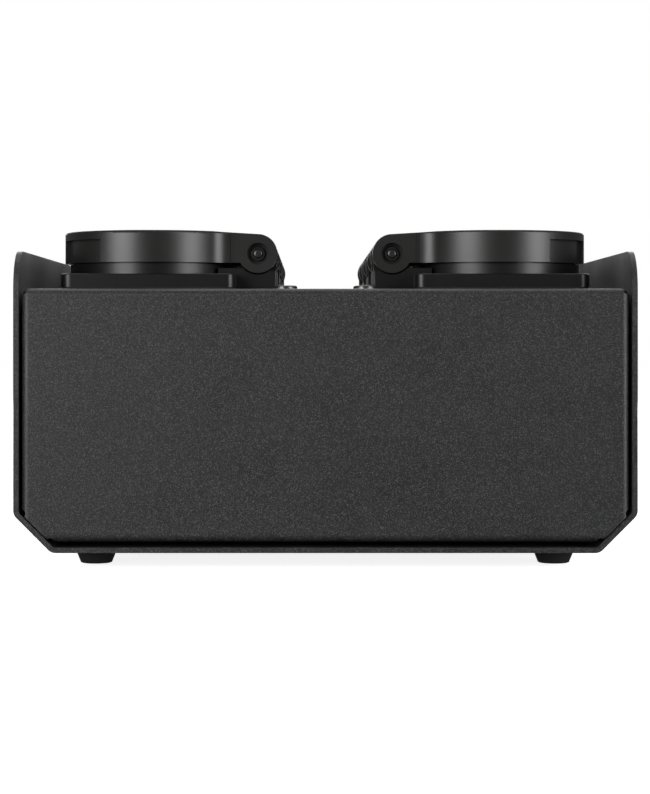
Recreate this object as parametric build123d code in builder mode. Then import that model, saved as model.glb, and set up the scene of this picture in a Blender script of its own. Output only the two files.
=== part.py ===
from build123d import *
from math import sqrt
import os

# Portable power distribution box: a folded steel shell with raised side wings holds a chassis
# whose top panel carries two columns of round panel sockets, each with a sprung hinged lid.
# Millimetres. +Z is up, -Y is the blank end, and the origin is under the middle of the feet.

os.makedirs("parts", exist_ok=True)

# ---------------------------------------------------------------- driving dimensions
# Sockets: how many, and the space around them
rows = 4
row_gap = 10.0
end_margin = 12.0
side_margin = 11.7
pin_spacing = 38.6

# Socket moulding, heights above the top panel
well_radius = 19.6
well_depth = 17.5
collar_wall = 3.3
skirt_clearance = 0.5
skirt_wall = 2.5
collar_inset = 1.5
flange_margin = 0.6
flange_corner = 3.0
gasket_thickness = 0.7
flange_top = 4.5
collar_top = 7.5
rim_top = 10.0
tube_wall = 1.7
tube_depth = 20.4
rib_width = 5.0
rib_depth = 1.8

# Lid and its hinge
skirt_bottom = 7.85
lid_top = 16.9
lid_edge_radius = 0.8
lid_plate = 2.3
seal_land = 2.2
lid_dish_depth = 0.5
lid_dish_inset = 5.5
arm_half_width = 16.5
arm_blend_radius = 8.0
arm_wall = 2.7
pocket_depth = 1.4
pocket_lip = 2.45
tab_half_angle = 13.0
pocket_end_angle = 58.0
pin_radius = 1.7
pin_height = 10.5
pin_reach = 5.1
pin_recess_radius = 3.1
pin_recess_depth = 2.6
pin_setback = 1.4
lid_knuckle_radius = 5.6
base_knuckle_radius = 5.2
lid_knuckle_length = 6.0
base_knuckle_length = 3.4
knuckle_gap = 0.3
cradle_clearance = 0.5
block_top = 6.3
block_wall_top = 5.5
running_clearance = 0.05
fixed_clearance = 0.02

# Spring of each lid
spring_wire = 0.8
spring_coil_radius = 3.0
spring_turns = 7.25
spring_pitch = 1.3

# Contacts inside each socket
contact_spacing = 19.0
contact_bore = 2.4
contact_wall = 0.9
contact_entry_radius = 2.7
contact_entry_depth = 2.3
insert_clearance = 0.2
insert_cap_thickness = 4.6
contact_tail = 3.0
clip_width = 5.0
clip_thickness = 0.8

# Enclosure
sheet = 1.5
body_height = 73.7
wing_height = 10.7
wing_corner_radius = 11.0
corner_cut = 10.6
shell_bend_radius = 3.0
panel_bend_radius = 2.0
side_gap = 0.75
floor_gap = 1.5
corner_gap = 0.35
tube_hole_clearance = 0.2
return_depth = 14.0
side_flange_depth = 22.0
corner_relief = 1.4
relief_radius = 1.1

# Feet
foot_height = 4.7
foot_top_radius = 6.1
foot_bottom_radius = 4.7
foot_edge_radius = 0.8
foot_inset_y = 22.0
foot_inset_x = 21.2
foot_recess_depth = 2.6

# Fasteners: shank radius, head radius and head height
socket_screw = (1.5, 2.5, 1.2)
socket_screw_inset = 5.5
socket_screw_length = 10.0
side_screw = (2.0, 3.5, 1.5)
side_screw_length = 8.0
side_screw_drop = 12.4
side_screw_inset = 27.0
rail_screw = (2.0, 3.3, 1.0)
rail_screw_inset = 8.0
rail_screw_x = 11.2
rail_screw_length = 8.0
foot_screw = (1.5, 2.5, 1.6)
foot_screw_length = 10.0
connector_screw = (1.5, 2.5, 1.2)
connector_screw_length = 8.0
hole_clearance = 0.15
nut_hole_clearance = 0.05
drive_share = 0.9
small_nut = (5.5, 2.4)
large_nut = (7.0, 3.2)
stud_nut = (8.0, 4.0)

# Terminal rail, blocks, bars and wires
rail_web_x = 7.0
rail_flange = 8.0
rail_depth = 34.9
rail_end_gap = 4.0
block_half_width = 11.0
block_length = 28.0
block_height = 16.0
bar_width = 3.0
bar_height = 3.0
bar_pitch = 6.0
wire_radius = 1.4
wire_bend = 8.0
wire_drop = 16.4
feed_wire_radius = 1.7
feed_wire_bend = 3.6
feed_drop = 4.0
feed_pitch = 6.0

# Connectors of the rear end panel
connector_x = 40.0
connector_rise = 4.0
connector_plate_width = 26.0
connector_plate_height = 31.0
connector_plate_thickness = 2.5
connector_plate_corner = 2.5
connector_barrel_radius = 11.8
connector_depth = 22.0
connector_nose_radius = 11.4
connector_well_radius = 8.8
connector_well_depth = 15.0
connector_core_radius = 5.4
connector_core_length = 12.0
connector_hole_x = 9.5
connector_hole_z = 12.0

# Earth stud on the shell floor
stud_radius = 2.5
stud_drop = 4.0
stud_inset = 20.0
stud_wire_bend = 2.4

# Small details
flange_edge_radius = 0.4
gasket_margin = 0.3
rib_setback = 3.0
clip_setback = 0.25
slot_clearance = 0.1
contact_clearance = 0.1
clip_bulge = 1.3
clip_bulge_height = 4.0
clip_height = 7.5
slope_start = 18.0
dish_land = 1.5
groove_x = 23.6
groove_width = 1.0
groove_depth = 0.25
seal_gap = 0.1
seal_margin = 0.4
pin_dome_radius = 1.1
terminal_screw_x = 9.2
terminal_screw_radius = 1.4
terminal_screw_depth = 3.0
connector_key_radius = 1.2
connector_key_depth = 6.0
cut_overshoot = 1.0
cut_overlap = 0.01

# ---------------------------------------------------------------- sizes that follow
rim_radius = well_radius + collar_wall
skirt_inner_radius = rim_radius + skirt_clearance
lid_radius = skirt_inner_radius + skirt_wall
collar_radius = lid_radius - collar_inset
flange_size = 2 * (collar_radius + flange_margin)
tube_radius = well_radius + tube_wall
hinge_x = lid_radius + pin_reach
block_end = hinge_x + lid_knuckle_radius - knuckle_gap
cradle_radius = lid_knuckle_radius + cradle_clearance
lid_knuckle_start = arm_half_width - lid_knuckle_length
base_knuckle_end = lid_knuckle_start - knuckle_gap
base_knuckle_start = base_knuckle_end - base_knuckle_length
lid_ceiling = lid_top - lid_plate
seal_land_z = lid_ceiling - seal_land
well_floor = rim_top - well_depth
insert_bottom = -tube_depth - insert_cap_thickness
contact_bottom = insert_bottom - contact_tail
contact_radius = contact_bore + contact_wall

column_x = pin_spacing / 2 + hinge_x
row_pitch = flange_size + row_gap
shell_width = 2 * (column_x + flange_size / 2 + side_margin)
shell_length = rows * flange_size + (rows - 1) * row_gap + 2 * end_margin
half_width = shell_width / 2
half_length = shell_length / 2
shell_floor = foot_height + sheet
panel_top = foot_height + body_height
panel_under = panel_top - sheet
wing_top = panel_top + wing_height
chassis_half_width = half_width - sheet - side_gap
chassis_bottom = shell_floor + floor_gap
row_y = [(row - (rows - 1) / 2) * row_pitch for row in range(rows)]
hole_inset = flange_size / 2 - socket_screw_inset

bench = Align.MIN
middle = Align.CENTER
hanging = Align.MAX
upright = (middle, middle, bench)
downward = (middle, middle, hanging)

# Each socket's place: its origin is on the top panel, and its local +X points to the hinge.
columns = {"left": (-column_x, 0), "right": (column_x, 180)}
socket_places = {}
for side, (x, turn) in columns.items():
    for number, y in enumerate(row_y, start=1):
        socket_places[f"{side}_{number}"] = Location((x, y, panel_top), (0, 0, turn))
all_sockets = list(socket_places.values())


def save(piece, name):
    """Label a finished piece and write it to its own STEP file."""
    piece.part.label = name
    export_step(piece.part, f"parts/{name}.step")


def placed(piece, places):
    """Copy a finished piece to every place, as separate solids of one group."""
    with BuildPart() as group:
        with Locations(*places):
            add(piece.part)
    return group


def screw(size, length, flat_head):
    """One screw with its head at the origin: flat heads lie below it, pan heads stand on it."""
    shank, head, head_height = size
    with BuildPart() as fastener:
        Cylinder(shank, length, align=downward)
        if flat_head:
            Cone(shank, head, head_height, align=downward)
            drive_top = 0
        else:
            Cylinder(head, head_height, align=upright)
            fillet(fastener.edges().group_by(Axis.Z)[-1], head_height / 2)
            drive_top = head_height
        with BuildSketch(Plane.XY.offset(drive_top)):
            RegularPolygon(shank * drive_share, 6)
        extrude(amount=-shank * drive_share, mode=Mode.SUBTRACT)
    return fastener


def nut(shank, flats, thickness):
    """One hexagon nut hanging below the origin."""
    with BuildPart() as fastener:
        with BuildSketch():
            RegularPolygon(flats / 2, 6, major_radius=False)
            Circle(shank + nut_hole_clearance, mode=Mode.SUBTRACT)
        extrude(amount=-thickness)
    return fastener


# ---------------------------------------------------------------- places of fasteners and feet
side_screw_z = panel_top - side_screw_drop
side_screw_y = [side_screw_inset - half_length, 0, half_length - side_screw_inset]
side_screw_places = [
    Location((side * half_width, y, side_screw_z), (0, side * 90, 0))
    for side in (-1, 1)
    for y in side_screw_y
]
rail_screw_y = half_length - rail_screw_inset
rail_screw_points = [(x, y) for x in (-rail_screw_x, rail_screw_x) for y in (-rail_screw_y, rail_screw_y)]
foot_x = half_width - foot_inset_x
foot_y = half_length - foot_inset_y
foot_points = [(x, y) for x in (-foot_x, foot_x) for y in (-foot_y, foot_y)]
socket_hole_points = [(x, y) for x in (-hole_inset, hole_inset) for y in (-hole_inset, hole_inset)]
wire_level = panel_top + contact_bottom - wire_drop
connector_z = wire_level + connector_rise
connector_places = [Location((x, half_length, connector_z), (-90, 0, 0)) for x in (-connector_x, connector_x)]
connector_hole_points = [(-connector_hole_x, -connector_hole_z), (connector_hole_x, connector_hole_z)]
connector_screw_places = [
    place * Location((x, y, 0)) for place in connector_places for x, y in connector_hole_points
]
stud_y = half_length - stud_inset

# ---------------------------------------------------------------- outer shell
def trough_points(inset):
    """Section of the shell's trough, moved inwards by an inset, from wing top to wing top."""
    cut = corner_cut - inset * (2 - sqrt(2))
    x = half_width - inset
    z = foot_height + inset
    return [(-x, wing_top), (-x, z + cut), (-x + cut, z), (x - cut, z), (x, z + cut), (x, wing_top)]


with BuildPart() as outer_shell:
    with BuildSketch(Plane.XZ.offset(-half_length)):
        for inset, mode in ((0, Mode.ADD), (sheet, Mode.SUBTRACT)):
            points = trough_points(inset)
            with BuildLine():
                FilletPolyline(*points, radius=shell_bend_radius - inset)
                Line(points[-1], points[0])
            make_face(mode=mode)
    extrude(amount=shell_length)
    fillet(outer_shell.edges().filter_by(Axis.X).group_by(Axis.Z)[-1], wing_corner_radius)
    with BuildSketch(Plane.XY.offset(foot_height)):
        with Locations(*foot_points):
            Circle(foot_screw[0] + hole_clearance)
    extrude(amount=sheet, mode=Mode.SUBTRACT)
    with Locations(*side_screw_places):
        Cone(
            side_screw[0] + hole_clearance,
            side_screw[1] + hole_clearance,
            sheet,
            align=downward,
            mode=Mode.SUBTRACT,
        )
save(outer_shell, "outer_shell")

# ---------------------------------------------------------------- chassis: top panel, end panels, flanges
end_inset = half_width - chassis_half_width + chassis_bottom - foot_height
end_cut = corner_cut + (sheet + corner_gap) * sqrt(2) - end_inset


def end_panel_points(inset):
    """Outline of the end panels, moved inwards by an inset."""
    cut = end_cut - inset * (2 - sqrt(2))
    x = chassis_half_width - inset
    low = chassis_bottom + inset
    high = panel_top - inset
    return [(-x, high), (-x, low + cut), (-x + cut, low), (x - cut, low), (x, low + cut), (x, high)]


with BuildPart() as chassis:
    with BuildSketch(Plane.XZ.offset(-half_length)):
        with BuildLine():
            Polyline(*end_panel_points(0), close=True)
        make_face()
    extrude(amount=shell_length)
    bends = chassis.edges().filter_by(Axis.Y).group_by(Axis.Z)[-1]
    bends += chassis.edges().filter_by(Axis.X)
    bends += chassis.edges().filter_by(Axis.Z)
    fillet(bends, panel_bend_radius)
    with BuildSketch(Plane.XZ.offset(sheet - half_length)):
        with BuildLine():
            Polyline(*end_panel_points(sheet), close=True)
        make_face()
    extrude(amount=shell_length - 2 * sheet, mode=Mode.SUBTRACT)
    # Open middle: only the returns of the end panels and the side flanges of the top panel stay.
    open_length = shell_length - 2 * return_depth
    Box(shell_width, open_length, panel_top - side_flange_depth, align=upright, mode=Mode.SUBTRACT)
    # The 45-degree corners have no return, only the flat edge of the end panel.
    corner_x = chassis_half_width - end_cut / 2
    with Locations((-corner_x, 0, chassis_bottom), (corner_x, 0, chassis_bottom)):
        Box(end_cut + 2 * cut_overlap, shell_length - 2 * sheet, end_cut, align=upright, mode=Mode.SUBTRACT)
    relief_points = [
        (x, z)
        for side in (-1, 1)
        for x, z in (
            (side * chassis_half_width, chassis_bottom + end_cut),
            (side * (chassis_half_width - end_cut), chassis_bottom),
        )
    ]
    with BuildSketch(Plane.XZ.offset(-half_length)):
        with Locations(*relief_points):
            Circle(relief_radius)
    extrude(amount=shell_length, mode=Mode.SUBTRACT)
    top_corners = [
        (x, y, panel_top)
        for x in (-chassis_half_width, chassis_half_width)
        for y in (-half_length, half_length)
    ]
    with Locations(*top_corners):
        Box(2 * corner_relief, 3 * panel_bend_radius, 2 * corner_relief, mode=Mode.SUBTRACT)
    # Holes of the top panel
    with BuildSketch(Plane.XY.offset(panel_top)):
        for place in all_sockets:
            with Locations(place):
                Circle(tube_radius + tube_hole_clearance)
                with Locations(*socket_hole_points):
                    Circle(socket_screw[0] + hole_clearance)
        with Locations(*rail_screw_points):
            Circle(rail_screw[0] + hole_clearance)
    extrude(amount=-sheet, mode=Mode.SUBTRACT)
    # Threaded holes of the side flanges
    with Locations(*side_screw_places):
        Cylinder(side_screw[0] + nut_hole_clearance, side_screw_length, align=downward, mode=Mode.SUBTRACT)
    # Cut-outs of the rear end panel
    with BuildSketch(Plane.XZ.offset(-half_length)):
        for x in (-connector_x, connector_x):
            with Locations((x, connector_z)):
                Circle(connector_nose_radius + tube_hole_clearance)
                with Locations(*[(px, -pz) for px, pz in connector_hole_points]):
                    Circle(connector_screw[0] + hole_clearance)
    extrude(amount=sheet, mode=Mode.SUBTRACT)
    with Locations(*connector_screw_places):
        Cone(
            connector_screw[0] + hole_clearance,
            connector_screw[1] + hole_clearance,
            connector_screw[2] + hole_clearance,
            align=downward,
            mode=Mode.SUBTRACT,
        )
save(chassis, "chassis")

# ---------------------------------------------------------------- socket gasket
with BuildPart() as gasket:
    with BuildSketch():
        RectangleRounded(flange_size - 2 * gasket_margin, flange_size - 2 * gasket_margin, flange_corner)
        with Locations((block_end / 2, 0)):
            Rectangle(block_end - 2 * gasket_margin, 2 * (arm_half_width - gasket_margin))
        Circle(tube_radius + tube_hole_clearance, mode=Mode.SUBTRACT)
        with Locations(*socket_hole_points):
            Circle(socket_screw[0] + hole_clearance, mode=Mode.SUBTRACT)
    extrude(amount=gasket_thickness)
save(placed(gasket, all_sockets), "flange_gaskets")

# ---------------------------------------------------------------- socket base
knuckle_middle = (base_knuckle_start + base_knuckle_end) / 2
lid_knuckle_middle = (lid_knuckle_start + arm_half_width) / 2
across = (90, 0, 0)

with BuildPart() as socket_base:
    with BuildSketch(Plane.XY.offset(gasket_thickness)):
        RectangleRounded(flange_size, flange_size, flange_corner)
    extrude(amount=flange_top - gasket_thickness)
    fillet(socket_base.edges().group_by(Axis.Z)[-1], flange_edge_radius)
    with BuildSketch(Plane.XZ.offset(-arm_half_width)):
        with Locations(((well_radius + block_end) / 2, gasket_thickness)):
            Rectangle(block_end - well_radius, block_top - gasket_thickness, align=(middle, bench))
    extrude(amount=2 * arm_half_width)
    fillet(socket_base.edges().filter_by(Axis.Z).sort_by(Axis.X)[-2:], flange_edge_radius)
    for low, high, radius in (
        (flange_top, collar_top, collar_radius),
        (collar_top, rim_top, rim_radius),
        (-tube_depth, gasket_thickness, tube_radius),
    ):
        with BuildSketch(Plane.XY.offset(low)):
            Circle(radius)
        extrude(amount=high - low)
    # The block's inner wall is lower, and the lid's knuckles turn in round cradles.
    with Locations((hinge_x, 0, block_wall_top)):
        Box(block_end, 3 * arm_half_width, block_top, align=(bench, middle, bench), mode=Mode.SUBTRACT)
    for side in (-1, 1):
        with Locations((hinge_x, side * (base_knuckle_end + arm_half_width) / 2, pin_height)):
            Cylinder(
                cradle_radius,
                arm_half_width - base_knuckle_end + 2 * cut_overlap,
                rotation=across,
                mode=Mode.SUBTRACT,
            )
        with Locations((hinge_x, side * knuckle_middle, pin_height)):
            Cylinder(base_knuckle_radius, base_knuckle_length, rotation=across)
        with Locations((hinge_x, side * knuckle_middle, gasket_thickness)):
            Box(2 * base_knuckle_radius, base_knuckle_length, pin_height - gasket_thickness, align=upright)
    with Locations((hinge_x, 0, pin_height)):
        bore_length = 2 * base_knuckle_end + cut_overshoot
        Cylinder(pin_radius + fixed_clearance, bore_length, rotation=across, mode=Mode.SUBTRACT)
    # Well, guide ribs and screw holes
    with BuildSketch(Plane.XY.offset(-tube_depth)):
        Circle(well_radius)
    extrude(amount=tube_depth + rim_top, mode=Mode.SUBTRACT)
    with BuildSketch(Plane.XY.offset(well_floor)):
        Circle(well_radius + tube_wall / 2)
        Circle(well_radius - rib_depth, mode=Mode.SUBTRACT)
        Rectangle(rib_width, 3 * well_radius, mode=Mode.INTERSECT)
    extrude(amount=well_depth - rib_setback)
    with BuildSketch(Plane.XY.offset(flange_top)):
        with Locations(*socket_hole_points):
            Circle(socket_screw[0] + hole_clearance)
    extrude(amount=gasket_thickness - flange_top, mode=Mode.SUBTRACT)
    with Locations(*[(x, y, flange_top) for x, y in socket_hole_points]):
        Cone(
            socket_screw[0] + hole_clearance,
            socket_screw[1] + hole_clearance,
            socket_screw[2] + hole_clearance,
            align=downward,
            mode=Mode.SUBTRACT,
        )

# ---------------------------------------------------------------- socket insert: floor of the well
clip_outer_x = well_radius - clip_setback
slot_inner_x = clip_outer_x - clip_thickness - slot_clearance
contact_points = [(0, -contact_spacing / 2), (0, contact_spacing / 2)]

with BuildPart() as socket_insert:
    for low, high, radius in (
        (-tube_depth, well_floor, well_radius - insert_clearance),
        (insert_bottom, -tube_depth, tube_radius),
    ):
        with BuildSketch(Plane.XY.offset(low)):
            Circle(radius)
        extrude(amount=high - low)
    for low, high, radius in (
        (well_floor - contact_entry_depth, well_floor, contact_entry_radius),
        (insert_bottom, well_floor - contact_entry_depth, contact_radius + contact_clearance),
    ):
        with BuildSketch(Plane.XY.offset(low)):
            with Locations(*contact_points):
                Circle(radius)
        extrude(amount=high - low, mode=Mode.SUBTRACT)
    for side in (-1, 1):
        with Locations((side * (slot_inner_x + tube_radius) / 2, 0, insert_bottom)):
            Box(
                tube_radius - slot_inner_x + cut_overshoot,
                clip_width + 2 * slot_clearance,
                well_floor - insert_bottom,
                align=upright,
                mode=Mode.SUBTRACT,
            )

# ---------------------------------------------------------------- lid with its arm and knuckles
with BuildPart() as lid:
    with BuildSketch(Plane.XY.offset(skirt_bottom)) as lid_outline:
        Circle(lid_radius)
        with Locations((hinge_x / 2, 0)):
            Rectangle(hinge_x, 2 * arm_half_width)
        meeting_x = sqrt(lid_radius**2 - arm_half_width**2)
        blends = [v for v in lid_outline.vertices() if abs(v.X - meeting_x) < 0.01]
        fillet(blends, arm_blend_radius)
    extrude(amount=lid_top - skirt_bottom)
    rim_edges = [e for e in lid.edges().group_by(Axis.Z)[-1] if e.center().X < hinge_x - 0.1]
    fillet(rim_edges, lid_edge_radius)
    # The arm's top slopes down to the knuckles.
    with BuildSketch(Plane.XZ.offset(-lid_radius)):
        with BuildLine():
            Polyline(
                (slope_start, lid_top),
                (hinge_x, pin_height + lid_knuckle_radius),
                (hinge_x + cut_overshoot, lid_top + cut_overshoot),
                (slope_start, lid_top + cut_overshoot),
                close=True,
            )
        make_face()
    extrude(amount=2 * lid_radius, mode=Mode.SUBTRACT)
    for side in (-1, 1):
        with Locations((hinge_x, side * lid_knuckle_middle, pin_height)):
            Cylinder(lid_knuckle_radius, lid_knuckle_length, rotation=across)
        with Locations((groove_x, side * arm_half_width, skirt_bottom)):
            Box(groove_width, 2 * groove_depth, lid_top, align=upright, mode=Mode.SUBTRACT)
    # Hollow underside: a disc under the plate and a wider ring below the seal's land
    for low, high, radius in (
        (seal_land_z, lid_ceiling, well_radius),
        (skirt_bottom, seal_land_z, skirt_inner_radius),
    ):
        with BuildSketch(Plane.XY.offset(low)):
            Circle(radius)
        extrude(amount=high - low, mode=Mode.SUBTRACT)
    for reach, half in (
        (hinge_x - lid_knuckle_radius - knuckle_gap, arm_half_width - arm_wall),
        (hinge_x, lid_knuckle_start),
    ):
        with Locations((0, 0, skirt_bottom)):
            Box(reach, 2 * half, seal_land_z - skirt_bottom, align=(bench, middle, bench), mode=Mode.SUBTRACT)
    with Locations((hinge_x, 0, pin_height)):
        Cylinder(lid_knuckle_radius + knuckle_gap, 2 * lid_knuckle_start, rotation=across, mode=Mode.SUBTRACT)
        Cylinder(pin_radius + running_clearance, 3 * arm_half_width, rotation=across, mode=Mode.SUBTRACT)
    for side in (-1, 1):
        with Locations((hinge_x, side * arm_half_width, pin_height)):
            Cylinder(pin_recess_radius, 2 * pin_recess_depth, rotation=across, mode=Mode.SUBTRACT)
        # Finger pocket beside the thumb tab
        start = 180 + side * tab_half_angle
        sweep_angle = side * (pocket_end_angle - tab_half_angle)
        with BuildSketch(Plane.XY.offset(skirt_bottom)):
            with BuildLine():
                inner = CenterArc((0, 0), lid_radius - pocket_depth, start, sweep_angle)
                outer = CenterArc((0, 0), lid_radius + cut_overshoot, start, sweep_angle)
                Line(inner @ 0, outer @ 0)
                Line(inner @ 1, outer @ 1)
            make_face()
        extrude(amount=lid_top - pocket_lip - skirt_bottom, mode=Mode.SUBTRACT)
    # Shallow dish in the top
    with BuildSketch(Plane.XY.offset(lid_top)):
        Circle(lid_radius - lid_dish_inset)
        with Locations((slope_start - dish_land, 0)):
            Rectangle(lid_radius, 2 * lid_radius, align=(bench, middle), mode=Mode.SUBTRACT)
    extrude(amount=-lid_dish_depth, mode=Mode.SUBTRACT)

with BuildPart() as lid_seal:
    with BuildSketch(Plane.XY.offset(rim_top + seal_gap)):
        Circle(rim_radius - seal_margin)
        Circle(well_radius + seal_margin, mode=Mode.SUBTRACT)
    extrude(amount=seal_land_z - rim_top - seal_gap)

for name, place in socket_places.items():
    for kind, piece in (
        ("socket_base", socket_base),
        ("socket_insert", socket_insert),
        ("lid", lid),
        ("lid_seal", lid_seal),
    ):
        save(placed(piece, [place]), f"{kind}_{name}")

# ---------------------------------------------------------------- hinge pins and springs
pin_length = 2 * (arm_half_width - pin_setback)
with BuildPart() as hinge_pin:
    with Locations((hinge_x, 0, pin_height)):
        Cylinder(pin_radius, pin_length, rotation=across)
    fillet(hinge_pin.edges().filter_by(GeomType.CIRCLE), pin_dome_radius)
save(placed(hinge_pin, all_sockets), "hinge_pins")

spring_length = spring_turns * spring_pitch
tang_end_x = hinge_x - lid_knuckle_radius + spring_wire
with BuildPart() as hinge_spring:
    with BuildLine() as coil:
        Helix(
            spring_pitch,
            spring_length,
            spring_coil_radius,
            center=(hinge_x, -spring_length / 2, pin_height),
            direction=(0, 1, 0),
        )
    with BuildSketch(Plane(origin=coil.line @ 0, z_dir=coil.line % 0)):
        Circle(spring_wire / 2)
    sweep(is_frenet=True)
    # One tang lies under the lid's arm and the other stands on the hinge block.
    with Locations(coil.line @ 0):
        Cylinder(spring_wire / 2, hinge_x - tang_end_x, rotation=(0, -90, 0), align=upright)
    with Locations(coil.line @ 1):
        Cylinder(spring_wire / 2, pin_height - block_wall_top, align=downward)
save(placed(hinge_spring, all_sockets), "hinge_springs")

# ---------------------------------------------------------------- contacts and earth clips
with BuildPart() as contact:
    with BuildSketch(Plane.XY.offset(contact_bottom)):
        with Locations(*contact_points):
            Circle(contact_radius)
    extrude(amount=well_floor - contact_entry_depth - contact_bottom)
    with BuildSketch(Plane.XY.offset(insert_bottom)):
        with Locations(*contact_points):
            Circle(contact_bore)
    extrude(amount=well_floor - contact_entry_depth - insert_bottom, mode=Mode.SUBTRACT)
save(placed(contact, all_sockets), "pin_contacts")

with BuildPart() as earth_clip:
    strap_bottom = insert_bottom - clip_thickness
    clip_inner_x = clip_outer_x - clip_thickness
    with BuildSketch(Plane.XZ.offset(-clip_width / 2)):
        with BuildLine():
            Polyline(
                (0, strap_bottom),
                (clip_outer_x, strap_bottom),
                (clip_outer_x, 0),
                (clip_outer_x - clip_bulge, clip_bulge_height),
                (clip_outer_x, clip_height),
                (clip_inner_x, clip_height),
                (clip_inner_x - clip_bulge, clip_bulge_height),
                (clip_inner_x, 0),
                (clip_inner_x, insert_bottom),
                (0, insert_bottom),
                close=True,
            )
        make_face()
        mirror(about=Plane.YZ)
    extrude(amount=clip_width)
save(placed(earth_clip, all_sockets), "earth_clips")

# ---------------------------------------------------------------- fasteners
hole_places = [place * Location((x, y, flange_top)) for place in all_sockets for x, y in socket_hole_points]
socket_nut_places = [place * Location((x, y, -sheet)) for place in all_sockets for x, y in socket_hole_points]
save(placed(screw(socket_screw, socket_screw_length, True), hole_places), "socket_screws")
save(placed(screw(side_screw, side_screw_length, True), side_screw_places), "side_screws")
flange_offset = Location((0, 0, chassis_half_width - half_width - sheet))
side_nut_places = [place * flange_offset for place in side_screw_places]
rail_screw_places = [(x, y, panel_top) for x, y in rail_screw_points]
rail_nut_places = [Location((x, y, panel_under - sheet)) for x, y in rail_screw_points]
save(placed(screw(rail_screw, rail_screw_length, False), rail_screw_places), "rail_screws")
save(placed(screw(connector_screw, connector_screw_length, True), connector_screw_places), "connector_screws")
plate_back = Location((0, 0, -sheet - connector_plate_thickness))
connector_nut_places = [place * plate_back for place in connector_screw_places]
foot_nut_places = [Location((x, y, shell_floor), (180, 0, 0)) for x, y in foot_points]
small_nut_places = socket_nut_places + connector_nut_places + foot_nut_places
save(placed(nut(socket_screw[0], *small_nut), small_nut_places), "small_nuts")
save(placed(nut(side_screw[0], *large_nut), side_nut_places + rail_nut_places), "large_nuts")

# ---------------------------------------------------------------- feet
with BuildPart() as foot:
    with BuildSketch(Plane.XZ):
        with BuildLine():
            Polyline(
                (foot_screw[0] + hole_clearance, foot_recess_depth),
                (foot_screw[1] + hole_clearance, foot_recess_depth),
                (foot_screw[1] + hole_clearance, 0),
                (foot_bottom_radius - foot_edge_radius / 2, 0),
                (foot_bottom_radius, foot_edge_radius),
                (foot_top_radius, foot_height),
                (foot_screw[0] + hole_clearance, foot_height),
                close=True,
            )
        make_face()
    revolve(axis=Axis.Z)
save(placed(foot, [(x, y, 0) for x, y in foot_points]), "rubber_feet")
foot_screw_places = [Location((x, y, foot_recess_depth), (180, 0, 0)) for x, y in foot_points]
save(placed(screw(foot_screw, foot_screw_length, False), foot_screw_places), "foot_screws")

# ---------------------------------------------------------------- terminal rail, blocks and bars
rail_bottom = panel_under - rail_depth
rail_half_length = half_length - rail_end_gap
with BuildPart() as terminal_rail:
    with BuildSketch(Plane.XZ.offset(-rail_half_length)):
        with Locations((0, rail_bottom)):
            Rectangle(2 * rail_web_x, rail_depth, align=(middle, bench))
        with Locations((0, panel_under)):
            Rectangle(2 * (rail_web_x + rail_flange), sheet, align=(middle, hanging))
        with Locations((0, rail_bottom + sheet)):
            Rectangle(2 * (rail_web_x - sheet), rail_depth, align=(middle, bench), mode=Mode.SUBTRACT)
    extrude(amount=2 * rail_half_length)
    with BuildSketch(Plane.XY.offset(panel_under)):
        with Locations(*rail_screw_points):
            Circle(rail_screw[0] + hole_clearance)
    extrude(amount=-sheet, mode=Mode.SUBTRACT)
save(terminal_rail, "terminal_rail")

block_screw_points = [
    (x, pole * contact_spacing / 2) for x in (-terminal_screw_x, terminal_screw_x) for pole in (-1, 0, 1)
]
with BuildPart() as terminal_block:
    Box(2 * block_half_width, block_length, block_height, align=downward)
    fillet(terminal_block.edges().filter_by(Axis.Z), flange_edge_radius)
    with BuildSketch():
        with Locations(*block_screw_points):
            Circle(terminal_screw_radius)
    extrude(amount=-terminal_screw_depth, mode=Mode.SUBTRACT)
save(placed(terminal_block, [(0, y, rail_bottom) for y in row_y]), "terminal_blocks")

bar_length = row_y[-1] - row_y[0] + block_length
with BuildPart() as bus_bars:
    with Locations(*[(x, 0, rail_bottom - block_height) for x in (-bar_pitch, 0, bar_pitch)]):
        Box(bar_width, bar_length, bar_height, align=downward)
save(bus_bars, "bus_bars")

# ---------------------------------------------------------------- wires
def wire(points, bend, radius):
    """Round wire along straight runs joined by arcs."""
    with BuildPart() as strand:
        with BuildLine() as route:
            FilletPolyline(*points, radius=bend)
        with BuildSketch(Plane(origin=route.line @ 0, z_dir=route.line % 0)):
            Circle(radius)
        sweep()
    return strand


bar_end_y = bar_length / 2
bar_middle_z = rail_bottom - block_height - bar_height / 2
stud_top = bar_middle_z - stud_drop
contact_end_z = panel_top + contact_bottom
strap_end_z = panel_top + insert_bottom - clip_thickness
for name, offset, start_z in (
    ("live_wires", -contact_spacing / 2, contact_end_z),
    ("neutral_wires", contact_spacing / 2, contact_end_z),
    ("earth_wires", 0, strap_end_z),
):
    with BuildPart() as wires:
        for x, _ in columns.values():
            entry_x = block_half_width if x > 0 else -block_half_width
            for y in row_y:
                wire_y = y + offset
                route = [(x, wire_y, start_z), (x, wire_y, wire_level), (entry_x, wire_y, wire_level)]
                add(wire(route, wire_bend, wire_radius).part)
        if name == "earth_wires":
            route = [(0, bar_end_y, bar_middle_z), (0, stud_y, bar_middle_z), (0, stud_y, stud_top)]
            add(wire(route, stud_wire_bend, wire_radius).part)
    save(wires, name)

feed_level = wire_level - feed_drop
connector_back_y = half_length - sheet - connector_depth
with BuildPart() as feed_wires:
    for side in (-1, 1):
        for pole in (-1, 0, 1):
            x = side * (connector_x - pole * feed_pitch)
            y = row_y[-1] + pole * contact_spacing / 2
            entry_x = side * block_half_width
            route = [(x, connector_back_y, feed_level), (x, y, feed_level), (entry_x, y, feed_level)]
            add(wire(route, feed_wire_bend, feed_wire_radius).part)
save(feed_wires, "feed_wires")

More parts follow.
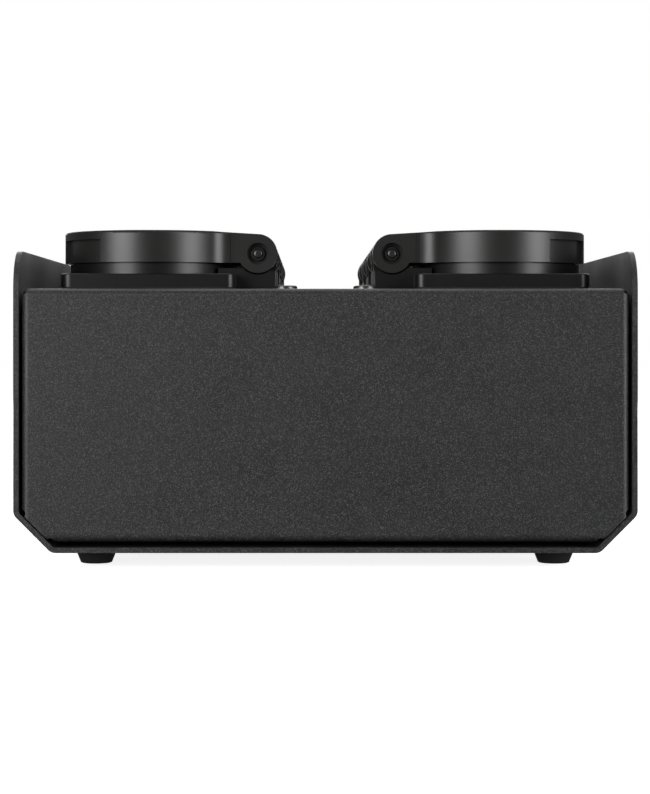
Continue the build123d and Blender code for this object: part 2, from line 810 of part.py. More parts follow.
# ---------------------------------------------------------------- earth stud and nut
with BuildPart() as earth_stud:
    with Locations((0, stud_y, shell_floor)):
        Cylinder(stud_radius, stud_top - shell_floor, align=upright)
save(earth_stud, "earth_stud")
save(placed(nut(stud_radius, *stud_nut), [Location((0, stud_y, shell_floor), (180, 0, 0))]), "earth_nut")

# ---------------------------------------------------------------- rear connectors
for name, place, key_angles in (
    ("power_inlet", connector_places[0], (90, 210, 330)),
    ("link_outlet", connector_places[1], (60, 180, 300)),
):
    with BuildPart() as connector:
        with BuildSketch(Plane.XY.offset(-sheet)):
            RectangleRounded(connector_plate_width, connector_plate_height, connector_plate_corner)
            with Locations(*connector_hole_points):
                Circle(connector_screw[0] + hole_clearance, mode=Mode.SUBTRACT)
        extrude(amount=-connector_plate_thickness)
        for low, high, radius in (
            (-sheet - connector_plate_thickness, 0, connector_nose_radius),
            (-sheet - connector_depth, -sheet - connector_plate_thickness, connector_barrel_radius),
        ):
            with BuildSketch(Plane.XY.offset(low)):
                Circle(radius)
            extrude(amount=high - low)
        with BuildSketch():
            Circle(connector_well_radius)
        extrude(amount=-connector_well_depth, mode=Mode.SUBTRACT)
        with BuildSketch(Plane.XY.offset(-connector_well_depth)):
            Circle(connector_core_radius)
        extrude(amount=connector_core_length)
        # Key slots of the ring
        with BuildSketch():
            for angle in key_angles:
                with PolarLocations(connector_well_radius, 1, start_angle=angle):
                    Circle(connector_key_radius)
            Circle(connector_well_radius, mode=Mode.SUBTRACT)
        extrude(amount=-connector_key_depth, mode=Mode.SUBTRACT)
    save(placed(connector, [place]), name)
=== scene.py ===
"""Portable power distribution box: materials, moulded and turned detail, and a studio round the CAD frame."""

from __future__ import annotations

import logging
import math
from collections.abc import Iterable
from dataclasses import dataclass, field
from enum import Enum

import bmesh
import bpy
from mathutils import Matrix, Vector


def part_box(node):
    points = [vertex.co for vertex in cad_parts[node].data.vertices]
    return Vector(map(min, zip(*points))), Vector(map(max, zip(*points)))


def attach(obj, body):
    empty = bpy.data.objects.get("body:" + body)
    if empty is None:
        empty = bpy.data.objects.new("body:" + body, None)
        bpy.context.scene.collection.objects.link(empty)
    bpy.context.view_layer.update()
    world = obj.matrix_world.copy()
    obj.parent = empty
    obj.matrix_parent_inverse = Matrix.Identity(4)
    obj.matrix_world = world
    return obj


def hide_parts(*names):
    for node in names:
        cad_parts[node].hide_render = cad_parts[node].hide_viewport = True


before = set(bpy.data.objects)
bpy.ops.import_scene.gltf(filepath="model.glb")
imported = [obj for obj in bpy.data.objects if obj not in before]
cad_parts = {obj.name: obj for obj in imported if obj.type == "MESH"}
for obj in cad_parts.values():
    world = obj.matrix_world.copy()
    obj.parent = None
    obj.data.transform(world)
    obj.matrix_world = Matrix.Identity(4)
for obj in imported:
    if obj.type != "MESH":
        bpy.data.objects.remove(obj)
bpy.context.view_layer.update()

LOG = logging.getLogger("power_box")
MM = 0.001
MERGE_DISTANCE = 0.0005 * MM
# The shader's own specular level, which leaves the reflection to the index of refraction.
PLAIN_SPECULAR = 0.5
# Faces that meet at less than this many degrees shade as one.
SMOOTH_ANGLE = 35.0
# Edges whose faces meet at more than this many degrees are rounded, in this many steps.
ROUNDED_ANGLE = 30.0
ROUNDING_SEGMENTS = 2


# ------------------------------------------------------------------ small helpers
def srgb(code: str) -> tuple[float, float, float, float]:
    """Turn an sRGB hex colour into the linear colour that shaders take.

    Args:
        code: Six hex digits, such as "3a3b3c".

    Returns:
        Linear red, green, blue and an alpha of 1.
    """
    channels = [int(code[i : i + 2], 16) / 255 for i in (0, 2, 4)]
    linear = [c / 12.92 if c <= 0.04045 else ((c + 0.055) / 1.055) ** 2.4 for c in channels]
    return (*linear, 1.0)


def per_mm(size: float) -> float:
    """Scale of a pattern on metre coordinates whose features are this many millimetres across."""
    return 1.0 / (size * MM)


def add_node(
    tree: bpy.types.NodeTree,
    kind: str,
    settings: dict[str, object] | None = None,
    links: dict[str, bpy.types.NodeSocket] | None = None,
    values: dict[str, object] | None = None,
) -> bpy.types.Node:
    """Add a shader node with its settings, socket values and incoming links.

    Args:
        tree: The material's node tree.
        kind: The node's type name, such as "ShaderNodeTexNoise".
        settings: Properties of the node itself.
        links: Output sockets to link to the node's named inputs.
        values: Constants for the node's named inputs.

    Returns:
        The new node.
    """
    node = tree.nodes.new(kind)
    for name, value in (settings or {}).items():
        setattr(node, name, value)
    for name, value in (values or {}).items():
        node.inputs[name].default_value = value
    for name, socket in (links or {}).items():
        tree.links.new(socket, node.inputs[name])
    return node


# ------------------------------------------------------------------ finishes
@dataclass(frozen=True)
class Finish:
    """A surface finish with a grain: colour, roughness and bump all follow the same real grain size.

    Attributes:
        name: What the material is and how its surface was made.
        colour: Base colour as sRGB hex.
        fleck: Colour of the lighter grains.
        roughness: Middle roughness.
        roughness_spread: How far the roughness moves either way.
        metallic: 1 for bare metal, else 0.
        ior: Index of refraction of a dielectric surface.
        grain_mm: Size of the grain.
        grain_depth_mm: Height of the grain's bump.
        fleck_range: Noise levels between which the flecks fade in; a high, narrow range leaves few specks.
        blotch_mm: Size of the broad, faint variation.
        stretch: Factors of the grain along X, Y and Z; a low factor draws it out along that axis.
        top_roughness: Roughness of faces that point up at rest, or 0 where they are like the others.
        top_specular: Specular level of those faces, low where a coarse texture takes their glare away.
    """

    name: str
    colour: str
    fleck: str
    roughness: float
    roughness_spread: float = 0.06
    metallic: float = 0.0
    ior: float = 1.5
    grain_mm: float = 0.5
    grain_depth_mm: float = 0.02
    fleck_range: tuple[float, float] = (0.42, 0.75)
    blotch_mm: float = 18.0
    stretch: tuple[float, float, float] = (1.0, 1.0, 1.0)
    top_roughness: float = 0.0
    top_specular: float = PLAIN_SPECULAR

    def make(self) -> bpy.types.Material:
        """Build the node material.

        Returns:
            The material, ready to assign.
        """
        material = bpy.data.materials.new(self.name)
        material.use_nodes = True
        tree = material.node_tree
        tree.nodes.clear()
        coordinates = add_node(tree, "ShaderNodeTexCoord")
        place = coordinates.outputs["Object"]
        mapped = add_node(
            tree, "ShaderNodeMapping", links={"Vector": place}, values={"Scale": self.stretch}
        ).outputs["Vector"]
        grain = add_node(
            tree,
            "ShaderNodeTexNoise",
            links={"Vector": mapped},
            values={"Scale": per_mm(self.grain_mm), "Detail": 3.0, "Roughness": 0.6},
        ).outputs["Fac"]
        blotch = add_node(
            tree,
            "ShaderNodeTexNoise",
            links={"Vector": place},
            values={"Scale": per_mm(self.blotch_mm), "Detail": 2.0, "Roughness": 0.5},
        ).outputs["Fac"]
        flecks = add_node(
            tree,
            "ShaderNodeMapRange",
            links={"Value": grain},
            values={"From Min": self.fleck_range[0], "From Max": self.fleck_range[1]},
        ).outputs["Result"]
        colour = add_node(
            tree,
            "ShaderNodeMix",
            settings={"data_type": "RGBA"},
            links={"Factor": flecks},
        )
        colour.inputs[6].default_value = srgb(self.colour)
        colour.inputs[7].default_value = srgb(self.fleck)
        mottled = add_node(tree, "ShaderNodeMath", settings={"operation": "ADD"}, links={0: grain, 1: blotch})
        roughness = add_node(
            tree,
            "ShaderNodeMapRange",
            links={"Value": mottled.outputs[0]},
            values={
                "From Min": 0.6,
                "From Max": 1.4,
                "To Min": self.roughness - self.roughness_spread,
                "To Max": self.roughness + self.roughness_spread,
            },
        ).outputs["Result"]
        bump = add_node(
            tree,
            "ShaderNodeBump",
            links={"Height": grain},
            values={"Strength": 1.0, "Distance": self.grain_depth_mm * MM},
        ).outputs["Normal"]
        shader = add_node(
            tree,
            "ShaderNodeBsdfPrincipled",
            links={"Base Color": colour.outputs[2], "Roughness": roughness, "Normal": bump},
            values={"Metallic": self.metallic, "IOR": self.ior},
        )
        if self.top_roughness:
            self.texture_top(tree, coordinates.outputs["Normal"], roughness, shader)
        output = add_node(tree, "ShaderNodeOutputMaterial", links={"Surface": shader.outputs["BSDF"]})
        output.is_active_output = True
        return material

    def texture_top(
        self,
        tree: bpy.types.NodeTree,
        normal: bpy.types.NodeSocket,
        roughness: bpy.types.NodeSocket,
        shader: bpy.types.Node,
    ) -> None:
        """Give faces that point up at rest their own, coarser texture.

        Args:
            tree: The material's node tree.
            normal: The surface's direction in the piece's own space.
            roughness: The roughness of the other faces.
            shader: The shader that takes the result.
        """
        upward = add_node(tree, "ShaderNodeSeparateXYZ", links={"Vector": normal}).outputs["Z"]
        facing = {"From Min": 0.6, "From Max": 0.95}
        rough = add_node(
            tree,
            "ShaderNodeMapRange",
            links={"Value": upward, "To Min": roughness},
            values={**facing, "To Max": self.top_roughness},
        )
        tree.links.new(rough.outputs["Result"], shader.inputs["Roughness"])
        level = add_node(
            tree,
            "ShaderNodeMapRange",
            links={"Value": upward},
            values={**facing, "To Min": PLAIN_SPECULAR, "To Max": self.top_specular},
        )
        tree.links.new(level.outputs["Result"], shader.inputs["Specular IOR Level"])


class Paint(Enum):
    """The finishes of the box."""

    # Fine-texture powder coat: the grit of about a third of a millimetre breaks the light into small specks.
    POWDER_COAT = Finish(
        "textured_black_powder_coat_steel",
        "080809",
        "4c4c4e",
        0.5,
        0.08,
        grain_mm=0.3,
        grain_depth_mm=0.04,
        fleck_range=(0.49, 0.71),
    )
    # Spark-eroded mould texture gives the lids an even satin that blurs highlights, and matt tops.
    LID_MOULDING = Finish(
        "satin_moulded_black_polyamide",
        "131211",
        "1c1b1a",
        0.37,
        0.06,
        grain_mm=0.3,
        grain_depth_mm=0.005,
        top_roughness=0.6,
        top_specular=0.1,
    )
    SOCKET_MOULDING = Finish(
        "moulded_black_polyamide", "0a0a0b", "111112", 0.34, 0.05, ior=1.4, grain_mm=0.3, grain_depth_mm=0.005
    )
    INSERT_MOULDING = Finish(
        "matt_moulded_black_polyamide", "161617", "1f1f20", 0.5, 0.05, grain_mm=0.35, grain_depth_mm=0.008
    )
    CONNECTOR_MOULDING = Finish(
        "moulded_black_pbt", "131315", "1c1c1f", 0.42, 0.05, grain_mm=0.35, grain_depth_mm=0.008
    )
    SEAL = Finish("moulded_epdm_rubber", "101010", "191919", 0.75, 0.08, grain_mm=0.4, grain_depth_mm=0.015)
    FOOT_RUBBER = Finish(
        "moulded_nitrile_rubber",
        "0c0c0d",
        "171718",
        0.8,
        0.08,
        grain_mm=0.5,
        grain_depth_mm=0.02,
    )
    ZINC = Finish(
        "bright_zinc_plated_steel",
        "8f9092",
        "b2b3b4",
        0.28,
        0.08,
        metallic=1.0,
        grain_mm=0.6,
        grain_depth_mm=0.004,
    )
    # Dull nickel on the panel's pan heads gives a dark sheen with a soft bright spot.
    NICKEL = Finish(
        "dull_nickel_plated_steel",
        "55534f",
        "6a6762",
        0.36,
        0.08,
        metallic=1.0,
        grain_mm=0.5,
        grain_depth_mm=0.006,
    )
    BLACK_OXIDE = Finish(
        "black_oxide_steel", "1a1a1b", "2c2c2d", 0.38, 0.08, metallic=1.0, grain_mm=0.4, grain_depth_mm=0.006
    )
    PIN = Finish("moulded_acetal_pin", "1b1b1c", "262627", 0.3, 0.05, grain_mm=0.3, grain_depth_mm=0.003)
    SPRING = Finish(
        "drawn_stainless_wire",
        "8b8a88",
        "a7a6a3",
        0.25,
        0.08,
        metallic=1.0,
        grain_mm=0.2,
        grain_depth_mm=0.004,
        stretch=(1.0, 0.2, 1.0),
    )
    BRASS = Finish(
        "stamped_brass",
        "b08d4a",
        "c7a560",
        0.3,
        0.1,
        metallic=1.0,
        grain_mm=0.5,
        grain_depth_mm=0.004,
    )
    GALVANISED = Finish(
        "galvanised_steel", "7e8184", "a4a7a9", 0.42, 0.12, metallic=1.0, grain_mm=6.0, grain_depth_mm=0.01
    )
    COPPER = Finish(
        "rolled_copper_bar",
        "b06a48",
        "c98662",
        0.33,
        0.1,
        metallic=1.0,
        grain_mm=0.4,
        grain_depth_mm=0.006,
        stretch=(1.0, 0.05, 1.0),
    )
    BLOCK = Finish("moulded_grey_polyamide", "8d8e8c", "9c9d9b", 0.5, 0.06, grain_mm=0.4, grain_depth_mm=0.01)
    BROWN_PVC = Finish(
        "extruded_brown_pvc",
        "4a2c1a",
        "5a3824",
        0.45,
        0.05,
        grain_mm=0.5,
        grain_depth_mm=0.008,
    )
    BLUE_PVC = Finish("extruded_blue_pvc", "1f4e9e", "2a5eb2", 0.45, 0.05, grain_mm=0.5, grain_depth_mm=0.008)
    GREEN_PVC = Finish(
        "extruded_green_yellow_pvc",
        "3f8a2a",
        "c8c43a",
        0.45,
        0.05,
        grain_mm=4.0,
        grain_depth_mm=0.004,
    )
    BLACK_PVC = Finish(
        "extruded_black_pvc",
        "151516",
        "202021",
        0.45,
        0.05,
        grain_mm=0.5,
        grain_depth_mm=0.008,
    )


class PaintShop:
    """Makes each finish once and gives it to the pieces and CAD nodes that carry it."""

    def __init__(self) -> None:
        """Start with no finish made."""
        self._made: dict[Paint, bpy.types.Material] = {}

    def material(self, paint: Paint) -> bpy.types.Material:
        """Give the material of a finish, made the first time it is asked for.

        Args:
            paint: The finish.

        Returns:
            Its material.
        """
        if paint not in self._made:
            self._made[paint] = paint.value.make()
        return self._made[paint]

    def dress(self, piece: bpy.types.Object, paint: Paint) -> None:
        """Give a piece one finish all over.

        Args:
            piece: A mesh or curve object.
            paint: Its finish.
        """
        slots = piece.data.materials
        if len(slots):
            for index in range(len(slots)):
                slots[index] = self.material(paint)
        else:
            slots.append(self.material(paint))

    def dress_nodes(self, names: Iterable[str], paint: Paint) -> None:
        """Give CAD nodes one finish all over.

        Args:
            names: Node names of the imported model.
            paint: Their finish.
        """
        for name in names:
            self.dress(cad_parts[name], paint)


# ------------------------------------------------------------------ modelling helpers
def finish_piece(mesh: bmesh.types.BMesh, name: str) -> bpy.types.Object:
    """Close a bmesh into a scene object with clean normals and crisp edges.

    Args:
        mesh: The bmesh; it is freed.
        name: Name of the piece.

    Returns:
        The new object, standing at the origin.
    """
    bmesh.ops.remove_doubles(mesh, verts=mesh.verts[:], dist=MERGE_DISTANCE)
    bmesh.ops.recalc_face_normals(mesh, faces=mesh.faces[:])
    data = bpy.data.meshes.new(name)
    mesh.to_mesh(data)
    mesh.free()
    data.shade_smooth()
    data.set_sharp_from_angle(angle=math.radians(SMOOTH_ANGLE))
    piece = bpy.data.objects.new(name, data)
    bpy.context.scene.collection.objects.link(piece)
    return piece


def soften(mesh: bmesh.types.BMesh, width: float) -> None:
    """Round every sharp edge of a bmesh.

    Args:
        mesh: The bmesh, with its doubles merged.
        width: Width of the rounding, in metres.
    """
    limit = math.radians(ROUNDED_ANGLE)
    edges = [e for e in mesh.edges if e.is_manifold and e.calc_face_angle(0.0) > limit]
    bmesh.ops.bevel(
        mesh,
        geom=edges,
        offset=width,
        offset_type="OFFSET",
        segments=ROUNDING_SEGMENTS,
        profile=0.5,
        affect="EDGES",
        clamp_overlap=True,
        material=-1,
    )


def turned(
    outline: list[tuple[float, float]], steps: int, bead: float, closed: bool = True
) -> bmesh.types.BMesh:
    """Turn an outline about the Z axis, as on a lathe.

    Args:
        outline: Radius and height of each corner, in metres.
        steps: Steps round the axis.
        bead: Rounding of the sharp edges, in metres.
        closed: Whether the outline's last corner joins its first.

    Returns:
        The turned bmesh.
    """
    mesh = bmesh.new()
    corners = [mesh.verts.new((radius, 0.0, height)) for radius, height in outline]
    pairs = list(zip(corners, corners[1:]))
    if closed:
        pairs.append((corners[-1], corners[0]))
    edges = [mesh.edges.new(pair) for pair in pairs]
    bmesh.ops.spin(
        mesh,
        geom=corners + edges,
        cent=(0.0, 0.0, 0.0),
        axis=(0.0, 0.0, 1.0),
        angle=math.tau,
        steps=steps,
        use_merge=True,
    )
    bmesh.ops.remove_doubles(mesh, verts=mesh.verts[:], dist=MERGE_DISTANCE)
    bmesh.ops.recalc_face_normals(mesh, faces=mesh.faces[:])
    soften(mesh, bead)
    return mesh


def rounded_block(low: Vector, high: Vector, bead: float) -> bmesh.types.BMesh:
    """A block between two corners with rounded edges.

    Args:
        low: Lowest corner, in metres.
        high: Highest corner, in metres.
        bead: Rounding of the edges, in metres.

    Returns:
        The bmesh of the block.
    """
    mesh = bmesh.new()
    bmesh.ops.create_cube(mesh, size=1.0)
    bmesh.ops.scale(mesh, vec=high - low, verts=mesh.verts[:])
    bmesh.ops.translate(mesh, vec=(low + high) / 2, verts=mesh.verts[:])
    soften(mesh, bead)
    return mesh


def joined(parts: Iterable[tuple[bmesh.types.BMesh, Matrix]]) -> bmesh.types.BMesh:
    """Gather several bmeshes into one, each moved to its place.

    Args:
        parts: Each bmesh with its matrix; the bmeshes are freed.

    Returns:
        The gathered bmesh.
    """
    whole = bmesh.new()
    for part, place in parts:
        bmesh.ops.transform(part, matrix=place, verts=part.verts[:])
        copy = bpy.data.meshes.new("part")
        part.to_mesh(copy)
        part.free()
        whole.from_mesh(copy)
        bpy.data.meshes.remove(copy)
    return whole


# ------------------------------------------------------------------ sub-assemblies
@dataclass
class SocketTop:
    """What lid and well carry beyond their mouldings, for one socket.

    Attributes:
        name: The socket, such as "left_1".
        seal_width: Width of the seal's section, in metres.
        seal_bead: Rounding of the seal's lips, in metres.
        seal_groove: Depth of the groove round the seal's underside, in metres.
        groove_share: Half the groove's width as a share of the seal's width.
        lid_land: From the seal up to the underside of the lid's plate, in metres.
        rib_height: Depth of the ribs under the lid's plate, in metres.
        rib_width: Thickness of those ribs, in metres.
        rib_bead: Rounding of their edges, in metres.
        rib_ring: Radius of the ring rib, in metres.
        rib_reach: Radius that the other ribs run out to, in metres.
        rib_count: How many ribs run from the ring outwards.
        screw_radius: Head radius of the screw in the well's floor, in metres.
        screw_height: Height of that head, in metres.
        screw_bead: Rounding of its edges, in metres.
        screw_sink: How far the head goes down into the floor, in metres.
        screw_dome: Corners of the head from its middle outwards, as shares of its radius and height.
    """

    name: str
    seal_width: float = 2.5 * MM
    seal_bead: float = 0.35 * MM
    seal_groove: float = 0.6 * MM
    groove_share: float = 0.2
    lid_land: float = 2.2 * MM
    rib_height: float = 1.6 * MM
    rib_width: float = 1.1 * MM
    rib_bead: float = 0.2 * MM
    rib_ring: float = 9.0 * MM
    rib_reach: float = 19.6 * MM
    rib_count: int = 6
    screw_radius: float = 3.1 * MM
    screw_height: float = 1.1 * MM
    screw_bead: float = 0.06 * MM
    screw_sink: float = 0.05 * MM
    screw_dome: tuple[tuple[float, float], ...] = (
        (0.0, 0.35),
        (0.36, 0.35),
        (0.45, 1.0),
        (0.7, 0.92),
        (0.94, 0.6),
        (1.0, 0.2),
    )

    def seal_box(self) -> tuple[Vector, Vector]:
        """Lowest and highest corner of the lid's seal."""
        low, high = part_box(f"lid_seal_{self.name}")
        return Vector(low), Vector(high)

    def centred(self, mesh: bmesh.types.BMesh, name: str) -> bpy.types.Object:
        """Move a mesh on to the well's axis and make it a piece.

        Args:
            mesh: The bmesh, about the Z axis; it is freed.
            name: Name of the piece.

        Returns:
            The piece.
        """
        low, high = self.seal_box()
        centre = (low + high) / 2
        bmesh.ops.translate(mesh, vec=(centre.x, centre.y, 0.0), verts=mesh.verts[:])
        return finish_piece(mesh, name)

    def seal(self) -> bpy.types.Object:
        """Turn the lid's seal with two rounded lips and a groove between them.

        Returns:
            The seal.
        """
        low, high = self.seal_box()
        outer = (high.x - low.x) / 2
        inner = outer - self.seal_width
        middle = (outer + inner) / 2
        half_groove = self.seal_width * self.groove_share
        outline = [
            (inner, low.z),
            (middle - half_groove, low.z),
            (middle - half_groove / 2, low.z + self.seal_groove),
            (middle + half_groove / 2, low.z + self.seal_groove),
            (middle + half_groove, low.z),
            (outer, low.z),
            (outer, high.z),
            (inner, high.z),
        ]
        piece = self.centred(turned(outline, steps=72, bead=self.seal_bead), f"seal_ring_{self.name}")
        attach(piece, f"lid_body_{self.name}")
        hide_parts(f"lid_seal_{self.name}")
        return piece

    def ribs(self) -> bpy.types.Object:
        """Build the ring rib and the radial ribs that stiffen the lid's plate from below.

        Returns:
            The ribs as one piece.
        """
        top = self.seal_box()[1].z + self.lid_land
        bottom = top - self.rib_height
        half = self.rib_width / 2
        inner, outer = self.rib_ring - half, self.rib_ring + half
        section = [(inner, bottom), (outer, bottom), (outer, top), (inner, top)]
        parts = [(turned(section, steps=64, bead=self.rib_bead), Matrix.Identity(4))]
        for index in range(self.rib_count):
            rib = rounded_block(
                Vector((self.rib_ring, -half, bottom)), Vector((self.rib_reach, half, top)), self.rib_bead
            )
            turn = Matrix.Rotation(math.tau * (index + 0.5) / self.rib_count, 4, "Z")
            parts.append((rib, turn))
        piece = self.centred(joined(parts), f"lid_ribs_{self.name}")
        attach(piece, f"lid_body_{self.name}")
        return piece

    def floor_screw(self) -> bpy.types.Object:
        """Turn the screw that holds the contact carrier, with a recess in its domed head.

        Returns:
            The screw.
        """
        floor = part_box(f"socket_insert_{self.name}")[1][2]
        outline = [(self.screw_radius * out, floor + self.screw_height * up) for out, up in self.screw_dome]
        outline += [(self.screw_radius, floor - self.screw_sink), (0.0, floor - self.screw_sink)]
        mesh = turned(outline, steps=36, bead=self.screw_bead, closed=False)
        piece = self.centred(mesh, f"floor_screw_{self.name}")
        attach(piece, "root")
        return piece

    def build(self, shop: PaintShop) -> None:
        """Build and dress the pieces of this socket.

        Args:
            shop: Where the finishes come from.
        """
        shop.dress(self.seal(), Paint.SEAL)
        shop.dress(self.ribs(), Paint.LID_MOULDING)
        shop.dress(self.floor_screw(), Paint.ZINC)
        LOG.info("socket %s: seal, lid ribs and floor screw", self.name)


@dataclass
class HingePins:
    """Riveted heads at both ends of every hinge pin.

    Attributes:
        sockets: Names of the sockets.
        arm_half_width: Half the width of a lid's arm along its pin, in metres.
        recess_depth: Depth of the recess that a head sits in, in metres.
        head_profile: Radius and height of each corner of a head, in metres, from its crown to its foot.
        head_bead: Rounding of its edges, in metres.
    """

    sockets: list[str]
    arm_half_width: float = 16.5 * MM
    recess_depth: float = 2.6 * MM
    head_profile: tuple[tuple[float, float], ...] = (
        (0.0, 0.945 * MM),
        (1.2 * MM, 0.9 * MM),
        (1.5 * MM, 0.648 * MM),
        (1.892 * MM, 0.702 * MM),
        (2.2 * MM, 0.45 * MM),
        (2.2 * MM, 0.0),
        (0.0, 0.0),
    )
    head_bead: float = 0.08 * MM

    def build(self, shop: PaintShop) -> None:
        """Turn one head at each end of each pin and join them into a single piece.

        Args:
            shop: Where the finishes come from.
        """
        pins_low, pins_high = (Vector(corner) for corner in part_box("hinge_pins"))
        pin_x = pins_high.x - (pins_high.z - pins_low.z) / 2
        pin_z = (pins_low.z + pins_high.z) / 2
        half = self.arm_half_width - self.recess_depth
        parts = []
        for name in self.sockets:
            low, high = (Vector(corner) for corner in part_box(f"lid_seal_{name}"))
            row_y = (low.y + high.y) / 2
            side = -1.0 if name.startswith("left") else 1.0
            for end in (-1.0, 1.0):
                mesh = turned(list(self.head_profile), steps=40, bead=self.head_bead, closed=False)
                turn = Matrix.Rotation(-end * math.pi / 2, 4, "X")
                parts.append((mesh, Matrix.Translation((side * pin_x, row_y + end * half, pin_z)) @ turn))
        piece = finish_piece(joined(parts), "pin_heads")
        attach(piece, "root")
        shop.dress(piece, Paint.PIN)
        LOG.info("hinge pins: %d heads", len(parts))


@dataclass
class Feet:
    """Four rubber feet with a rounded lip and a moulded ring.

    Attributes:
        top_radius: Radius where a foot meets the shell, in metres.
        bottom_radius: Radius at the floor, in metres.
        lip: Rounding of the bottom edge, in metres.
        recess_radius: Radius of the screw's recess, in metres.
        recess_depth: Depth of that recess, in metres.
        bore_radius: Radius of the screw's hole, in metres.
        ring_level: Height of the moulded ring as a share of the foot's height.
        ring_section: Corners of the ring's groove, out and up from its middle, in metres.
        bead: Rounding of the other edges, in metres.
    """

    top_radius: float = 6.1 * MM
    bottom_radius: float = 4.7 * MM
    lip: float = 0.7 * MM
    recess_radius: float = 2.65 * MM
    recess_depth: float = 2.6 * MM
    bore_radius: float = 1.65 * MM
    ring_level: float = 0.72
    ring_section: tuple[tuple[float, float], ...] = (
        (-0.12 * MM, -0.5 * MM),
        (-0.35 * MM, -0.3 * MM),
        (-0.35 * MM, 0.1 * MM),
        (0.0, 0.3 * MM),
    )
    bead: float = 0.12 * MM

    def build(self, shop: PaintShop) -> None:
        """Turn one foot at each corner of the base.

        Args:
            shop: Where the finishes come from.
        """
        low, high = (Vector(corner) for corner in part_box("rubber_feet"))
        height = high.z - low.z
        place_x, place_y = high.x - self.top_radius, high.y - self.top_radius
        ring_z = height * self.ring_level
        ring_radius = self.bottom_radius + (self.top_radius - self.bottom_radius) * self.ring_level
        outline = [
            (self.bore_radius, self.recess_depth),
            (self.recess_radius, self.recess_depth),
            (self.recess_radius, 0.0),
            (self.bottom_radius - self.lip, 0.0),
            (self.bottom_radius - self.lip * 0.3, self.lip * 0.25),
            (self.bottom_radius, self.lip),
            *((ring_radius + out, ring_z + up) for out, up in self.ring_section),
            (self.top_radius, height),
            (self.bore_radius, height),
        ]
        parts = [
            (turned(outline, steps=48, bead=self.bead), Matrix.Translation((x, y, low.z)))
            for x in (-place_x, place_x)
            for y in (-place_y, place_y)
        ]
        piece = finish_piece(joined(parts), "moulded_feet")
        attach(piece, "root")
        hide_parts("rubber_feet")
        shop.dress(piece, Paint.FOOT_RUBBER)
        LOG.info("feet: %d", len(parts))


# ------------------------------------------------------------------ studio
@dataclass(frozen=True)
class Softbox:
    """One rectangular area light.

    Attributes:
        name: The light's name.
        place: Where it stands, in metres.
        aim: The point it faces, in metres.
        size: Width and height, in metres.
        watts: Its power.
    """

    name: str
    place: tuple[float, float, float]
    aim: tuple[float, float, float]
    size: tuple[float, float]
    watts: float

    def hang(self) -> None:
        """Add the light to the scene."""
        data = bpy.data.lights.new(self.name, "AREA")
        data.shape = "RECTANGLE"
        data.size, data.size_y = self.size
        data.energy = self.watts
        lamp = bpy.data.objects.new(self.name, data)
        lamp.location = self.place
        lamp.rotation_euler = (Vector(self.aim) - Vector(self.place)).to_track_quat("-Z", "Y").to_euler()
        bpy.context.scene.collection.objects.link(lamp)


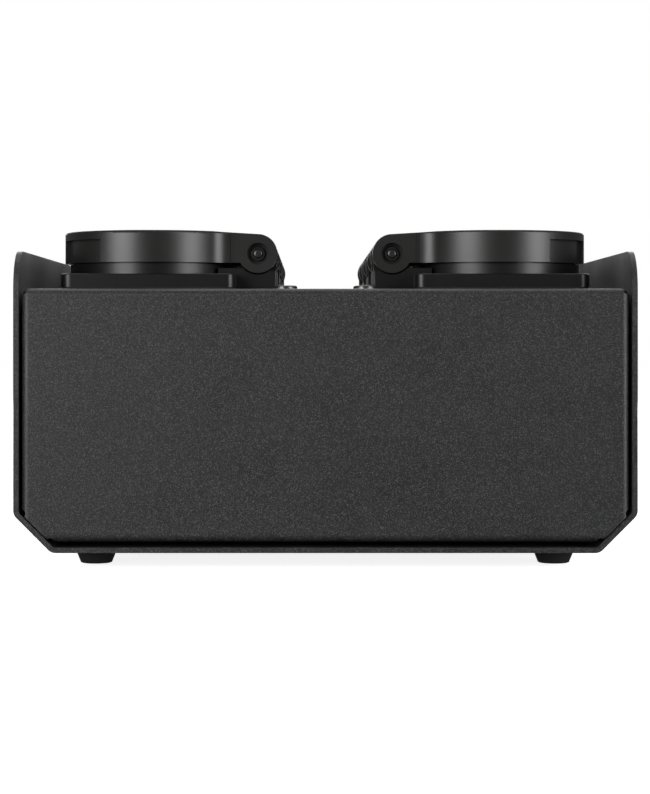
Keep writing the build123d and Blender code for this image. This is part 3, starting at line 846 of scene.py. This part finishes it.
@dataclass
class Studio:
    """Pale floor, soft lights and the camera.

    Attributes:
        camera_distance: From the front face to the camera, in metres.
        camera_drop: From the top panel down to the camera's level, in metres.
        camera_x: Sideways place of the camera, in metres.
        lens_mm: Focal length of the lens.
        sensor_mm: Width of the sensor.
        shift: Lens shift, right and up.
        top_panel_z: Height of the top panel, in metres.
        ambient: Strength of the dim light from all round.
        floor_glow: Glow of the white floor.
        floor_half: Half the side of the floor, in metres.
        softboxes: The lights.
    """

    camera_distance: float = 0.640
    camera_drop: float = 0.0139
    camera_x: float = -0.0042
    lens_mm: float = 104.2
    sensor_mm: float = 36.0
    shift: tuple[float, float] = (0.0184, -0.0738)
    top_panel_z: float = field(default_factory=lambda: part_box("chassis")[1][2])
    ambient: float = 0.15
    floor_glow: float = 0.85
    floor_half: float = 6.0
    softboxes: tuple[Softbox, ...] = (
        Softbox("left_softbox", (-0.80, -1.08, 0.3), (0.0, -0.1, 0.07), (0.62, 0.9), 16.0),
        Softbox("right_softbox", (1.01, -0.88, 0.3), (0.0, -0.1, 0.07), (0.62, 0.9), 14.0),
        Softbox("top_softbox", (0.0, 0.3, 1.3), (0.0, 0.0, 0.05), (0.9, 0.9), 6.0),
        Softbox("back_softbox", (0.0, 1.4, 0.6), (0.0, 0.0, 0.07), (1.2, 0.8), 14.0),
    )

    def camera(self) -> None:
        """Add the camera, level and square to the blank end."""
        data = bpy.data.cameras.new("camera")
        data.lens = self.lens_mm
        data.sensor_width = self.sensor_mm
        data.shift_x, data.shift_y = self.shift
        data.clip_start = 0.01
        data.clip_end = 20.0
        camera = bpy.data.objects.new("camera", data)
        front_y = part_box("chassis")[0][1]
        camera.location = (self.camera_x, front_y - self.camera_distance, self.top_panel_z - self.camera_drop)
        camera.rotation_euler = (math.radians(90), 0, 0)
        bpy.context.scene.collection.objects.link(camera)
        bpy.context.scene.camera = camera

    def floor(self) -> None:
        """Add a large pale floor."""
        mesh = bmesh.new()
        bmesh.ops.create_grid(mesh, x_segments=1, y_segments=1, size=self.floor_half)
        data = bpy.data.meshes.new("floor")
        mesh.to_mesh(data)
        mesh.free()
        floor = bpy.data.objects.new("floor", data)
        bpy.context.scene.collection.objects.link(floor)
        material = bpy.data.materials.new("pale_floor")
        material.use_nodes = True
        shader = material.node_tree.nodes["Principled BSDF"]
        shader.inputs["Base Color"].default_value = srgb("f6f6f6")
        shader.inputs["Roughness"].default_value = 0.9
        shader.inputs["Emission Color"].default_value = (1.0, 1.0, 1.0, 1.0)
        shader.inputs["Emission Strength"].default_value = self.floor_glow
        floor.data.materials.append(material)
        # A light table: it shows white, and its bounce is kept off the dark box.
        floor.visible_diffuse = False
        floor.visible_glossy = False

    def sky(self) -> None:
        """Set a white backdrop that lights the box only dimly, as in a dark studio with a white sweep."""
        world = bpy.data.worlds.new("surround")
        world.use_nodes = True
        tree = world.node_tree
        tree.nodes.clear()
        shades = [
            add_node(
                tree,
                "ShaderNodeBackground",
                values={"Color": (1.0, 1.0, 1.0, 1.0), "Strength": strength},
            ).outputs["Background"]
            for strength in (self.ambient, 1.0)
        ]
        seen = add_node(tree, "ShaderNodeLightPath").outputs["Is Camera Ray"]
        mixed = add_node(tree, "ShaderNodeMixShader", links={0: seen, 1: shades[0], 2: shades[1]})
        add_node(tree, "ShaderNodeOutputWorld", links={"Surface": mixed.outputs[0]})
        bpy.context.scene.world = world

    def build(self) -> None:
        """Add the camera, the lights, the floor and the surround, and keep the colours neutral."""
        self.camera()
        self.floor()
        self.sky()
        for softbox in self.softboxes:
            softbox.hang()
        bpy.context.scene.view_settings.view_transform = "Standard"


def main() -> None:
    """Build the studio, then dress every sub-assembly."""
    logging.basicConfig(level=logging.INFO, format="%(name)s: %(message)s")
    Studio().build()
    shop = PaintShop()
    sockets = [f"{side}_{row}" for side in ("left", "right") for row in range(1, 5)]
    shop.dress_nodes(["outer_shell", "chassis"], Paint.POWDER_COAT)
    shop.dress_nodes([f"lid_{s}" for s in sockets], Paint.LID_MOULDING)
    shop.dress_nodes([f"socket_base_{s}" for s in sockets], Paint.SOCKET_MOULDING)
    shop.dress_nodes([f"socket_insert_{s}" for s in sockets], Paint.INSERT_MOULDING)
    shop.dress_nodes([f"lid_seal_{s}" for s in sockets] + ["flange_gaskets"], Paint.SEAL)
    shop.dress_nodes(["rubber_feet"], Paint.FOOT_RUBBER)
    shop.dress_nodes(["rail_screws"], Paint.NICKEL)
    shop.dress_nodes(["foot_screws", "large_nuts", "small_nuts"], Paint.ZINC)
    shop.dress_nodes(["side_screws", "socket_screws", "connector_screws"], Paint.BLACK_OXIDE)
    shop.dress_nodes(["hinge_pins"], Paint.PIN)
    shop.dress_nodes(["hinge_springs"], Paint.SPRING)
    shop.dress_nodes(["pin_contacts", "earth_clips", "earth_stud", "earth_nut"], Paint.BRASS)
    shop.dress_nodes(["terminal_rail"], Paint.GALVANISED)
    shop.dress_nodes(["bus_bars"], Paint.COPPER)
    shop.dress_nodes(["terminal_blocks"], Paint.BLOCK)
    shop.dress_nodes(["live_wires"], Paint.BROWN_PVC)
    shop.dress_nodes(["neutral_wires"], Paint.BLUE_PVC)
    shop.dress_nodes(["earth_wires"], Paint.GREEN_PVC)
    shop.dress_nodes(["feed_wires"], Paint.BLACK_PVC)
    shop.dress_nodes(["power_inlet", "link_outlet"], Paint.CONNECTOR_MOULDING)
    for name in sockets:
        SocketTop(name).build(shop)
    HingePins(sockets).build(shop)
    Feet().build(shop)


if __name__ == "__main__":
    main()
